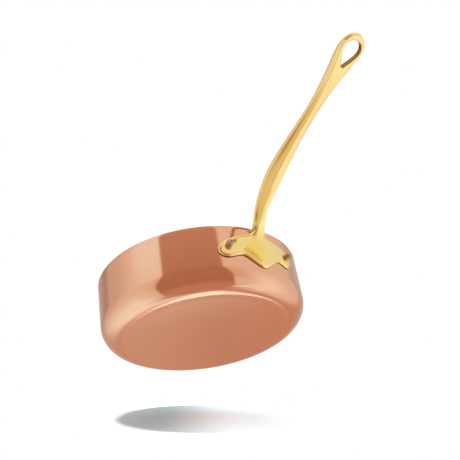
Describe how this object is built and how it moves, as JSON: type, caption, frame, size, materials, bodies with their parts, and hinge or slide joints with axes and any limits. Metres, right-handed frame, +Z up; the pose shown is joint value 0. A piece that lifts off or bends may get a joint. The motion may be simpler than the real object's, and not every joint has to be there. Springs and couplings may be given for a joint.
{
  "type": "saute pan",
  "caption": "Small straight-sided copper saute pan with a steel lining and a long cast brass handle, which is riveted to its wall and ends in a hanging eye.",
  "frame": {"origin": "middle of the base's underside, on which the pan stands", "axes": "+Z up, out of the open top; +X from the pan's middle to the handle's hanging eye"},
  "size_m": [0.224, 0.12, 0.0922],
  "materials": {
    "copper": "copper with a polished wall and a satin base",
    "lining_steel": "fine circular brushing",
    "handle_brass": "polished casting",
    "rivet_steel": "hammered and wiped"
  },
  "bodies": {
    "root": {"copper_shell": "copper", "steel_lining": "lining_steel", "handle": "handle_brass", "left_rivet": "rivet_steel", "right_rivet": "rivet_steel"}
  },
  "joints": []
}
